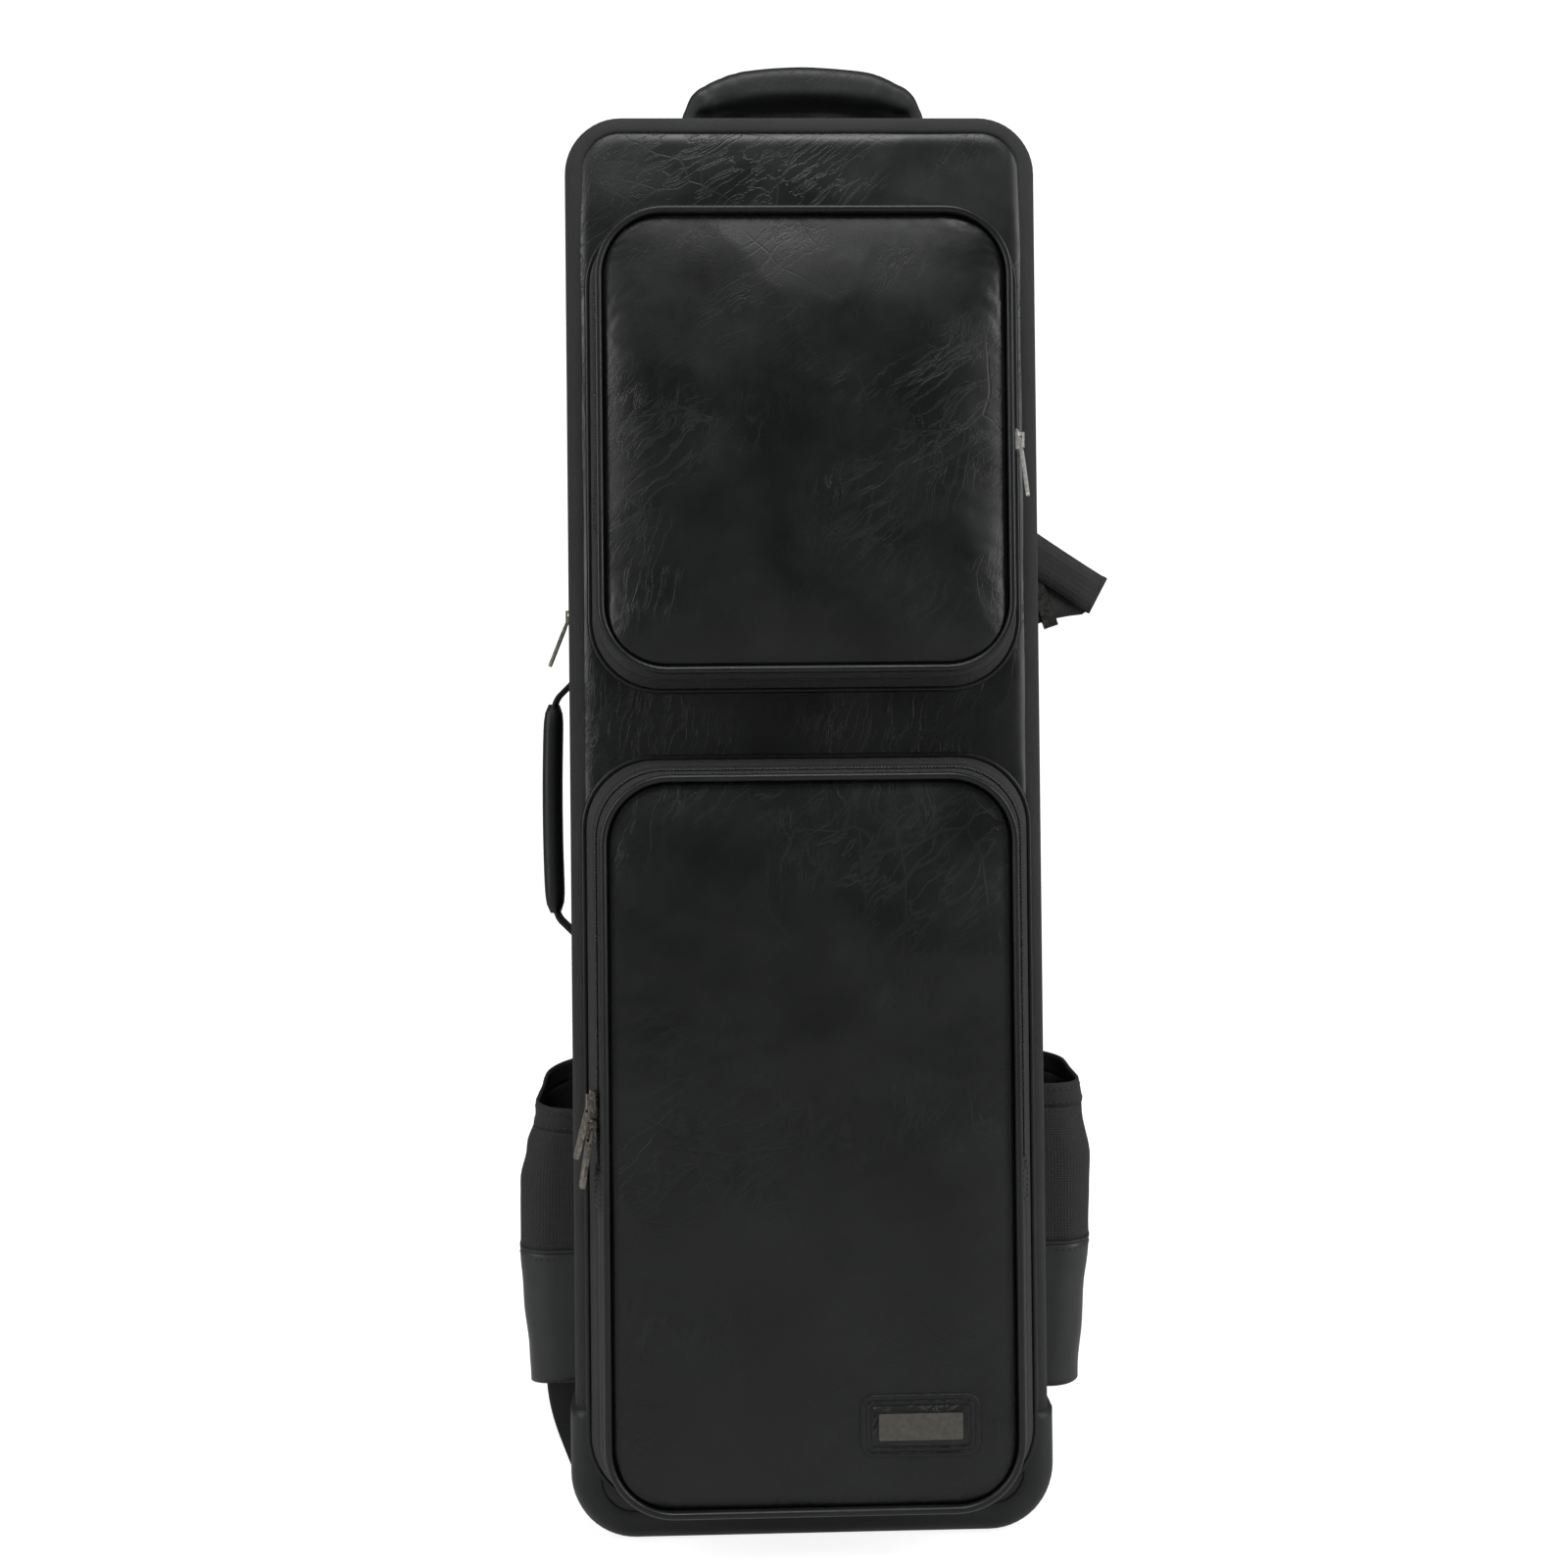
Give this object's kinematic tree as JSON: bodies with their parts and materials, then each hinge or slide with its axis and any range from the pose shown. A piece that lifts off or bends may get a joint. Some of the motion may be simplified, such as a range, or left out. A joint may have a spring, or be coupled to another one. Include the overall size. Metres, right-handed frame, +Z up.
{
  "type": "instrument gig bag",
  "caption": "Tall padded soft case with a side-hinged zip lid, front pockets with folding flaps, net bottle pockets, carry handles and shoulder straps.",
  "frame": {"origin": "middle of the flat sole that the bag stands on", "axes": "+Z up the bag, +Y from its front pockets to its back, +X to its right seen from the front"},
  "size_m": [0.416, 0.2503, 0.931],
  "materials": {
    "leather_black": "crinkled black synthetic leather, soft sheen",
    "nylon_black": "matt black woven nylon",
    "lining_black": "black brushed plush lining",
    "case_foam": "dark closed-cell foam, covered all over",
    "boot_black": "tough black synthetic leather boot",
    "zip_black": "black zip tape with coil teeth",
    "zip_nickel": "antique nickel-plated die casting",
    "zip_silver": "bright nickel-plated die casting",
    "piping_black": "smooth black piping",
    "webbing_black": "black ribbed polypropylene webbing",
    "net_black": "black stretch net with an elastic hem",
    "buckle_plastic": "moulded black acetal",
    "plate_gunmetal": "bare gunmetal plate with a soft brushed face",
    "ring_steel": "dull nickel-plated wire"
  },
  "bodies": {
    "tray": {"tray_foam_core": "case_foam", "tray_side_cover": "nylon_black", "back_cover": "nylon_black", "tray_lining": "lining_black", "tray_boot": "boot_black", "main_zip_tray": "zip_black", "hinge_band": "nylon_black", "body_cradle": "lining_black", "neck_cradle": "lining_black", "hold_down_strap": "webbing_black", "strap_anchor_patch": "leather_black", "back_pads": "nylon_black", "d_rings": "ring_steel", "strap_loops": "webbing_black", "upper_strap_webbing": "webbing_black", "shoulder_pads": "nylon_black", "lower_strap_webbing": "webbing_black", "ladder_locks": "buckle_plastic", "strap_slides": "ring_steel", "strap_wings": "nylon_black", "handle_patches": "leather_black", "top_handle_ends": "leather_black", "side_handle_webbing": "webbing_black", "left_bottle_pocket": "leather_black", "right_bottle_pocket": "leather_black", "bottle_nets": "net_black"},
    "lid": {"lid_foam_core": "case_foam", "lid_side_cover": "nylon_black", "lid_front_cover": "leather_black", "lid_lining": "lining_black", "lid_boot": "boot_black", "main_zip_lid": "zip_black", "upper_pocket_gusset": "nylon_black", "upper_pocket_panel": "leather_black", "upper_pocket_zip": "zip_black", "lower_pocket_gusset": "nylon_black", "lower_pocket_panel": "leather_black", "lower_pocket_zip": "zip_black", "pocket_piping": "piping_black", "badge_patch": "leather_black", "name_plate": "plate_gunmetal"},
    "upper_flap": {"upper_flap_strip": "nylon_black", "upper_flap_panel": "leather_black", "upper_flap_zip": "zip_black", "upper_flap_piping": "piping_black"},
    "lower_flap": {"lower_flap_strip": "nylon_black", "lower_flap_panel": "leather_black", "lower_flap_zip": "zip_black", "lower_flap_piping": "piping_black"},
    "main_slider_body": {"main_slider": "zip_nickel"},
    "main_pull_body": {"main_pull_tab": "zip_nickel"},
    "upper_slider_body": {"upper_slider": "zip_silver"},
    "upper_pull_body": {"upper_pull_tab": "zip_silver"},
    "lower_slider_a_body": {"lower_slider_a": "zip_nickel"},
    "lower_pull_a_body": {"lower_pull_tab_a": "zip_nickel"},
    "lower_slider_b_body": {"lower_slider_b": "zip_nickel"},
    "lower_pull_b_body": {"lower_pull_tab_b": "zip_nickel"},
    "top_handle": {"top_handle_grip": "leather_black"},
    "side_handle": {"side_handle_grip": "leather_black"}
  },
  "joints": [
    {"name": "lid_hinge", "type": "hinge", "parent": "tray", "child": "lid", "pos_m": [0.1456, -0.028, 0.435], "axis": [0, 0, 1], "range_deg": [0, 105], "deforming": ["hinge_band"]},
    {"name": "upper_flap_fold", "type": "hinge", "parent": "lid", "child": "upper_flap", "pos_m": [0, -0.1358, 0.64], "axis": [1, 0, 0], "range_deg": [0, 80]},
    {"name": "lower_flap_fold", "type": "hinge", "parent": "lid", "child": "lower_flap", "pos_m": [0, -0.1358, 0.236], "axis": [1, 0, 0], "range_deg": [0, 80]},
    {"name": "main_slider_run", "type": "slide", "parent": "tray", "child": "main_slider_body", "axis": [0, 0, 1], "range_m": [-0.44, 0.25]},
    {"name": "main_pull_swing", "type": "hinge", "parent": "main_slider_body", "child": "main_pull_body", "pos_m": [-0.14965, -0.028, 0.566], "axis": [0, 1, 0], "range_deg": [-20, 130]},
    {"name": "upper_slider_run", "type": "slide", "parent": "lid", "child": "upper_slider_body", "axis": [0, 0, 1], "range_m": [-0.014, 0.085]},
    {"name": "upper_pull_swing", "type": "hinge", "parent": "upper_slider_body", "child": "upper_pull_body", "pos_m": [0.12918, -0.11456, 0.664], "axis": [-0.2577, -0.9662, 0], "range_deg": [-5, 130]},
    {"name": "lower_slider_a_run", "type": "slide", "parent": "lid", "child": "lower_slider_a_body", "axis": [0, 0, 1], "range_m": [0, 0.14]},
    {"name": "lower_slider_b_run", "type": "slide", "parent": "lid", "child": "lower_slider_b_body", "axis": [0, 0, 1], "range_m": [-0.012, 0]},
    {"name": "lower_pull_b_swing", "type": "hinge", "parent": "lower_slider_b_body", "child": "lower_pull_b_body", "pos_m": [-0.13121, -0.11514, 0.256], "axis": [-0.3534, 0.9355, 0], "range_deg": [0, 110]},
    {"name": "lower_pull_a_swing", "type": "hinge", "parent": "lower_slider_a_body", "child": "lower_pull_a_body", "pos_m": [-0.13121, -0.11514, 0.273], "axis": [-0.3534, 0.9355, 0], "range_deg": [0, 110]},
    {"name": "top_handle_swing", "type": "hinge", "parent": "tray", "child": "top_handle", "pos_m": [0, 0.008, 0.8716], "axis": [1, 0, 0], "range_deg": [-40, 40], "deforming": ["top_handle_ends"]},
    {"name": "side_handle_swing", "type": "hinge", "parent": "tray", "child": "side_handle", "pos_m": [-0.1466, 0.02, 0.4415], "axis": [0, 0, 1], "range_deg": [-40, 40], "deforming": ["side_handle_webbing"]}
  ],
  "couplings": [
    {"joint": "lower_pull_a_swing", "follows": "lower_pull_b_swing", "ratio": 1}
  ]
}
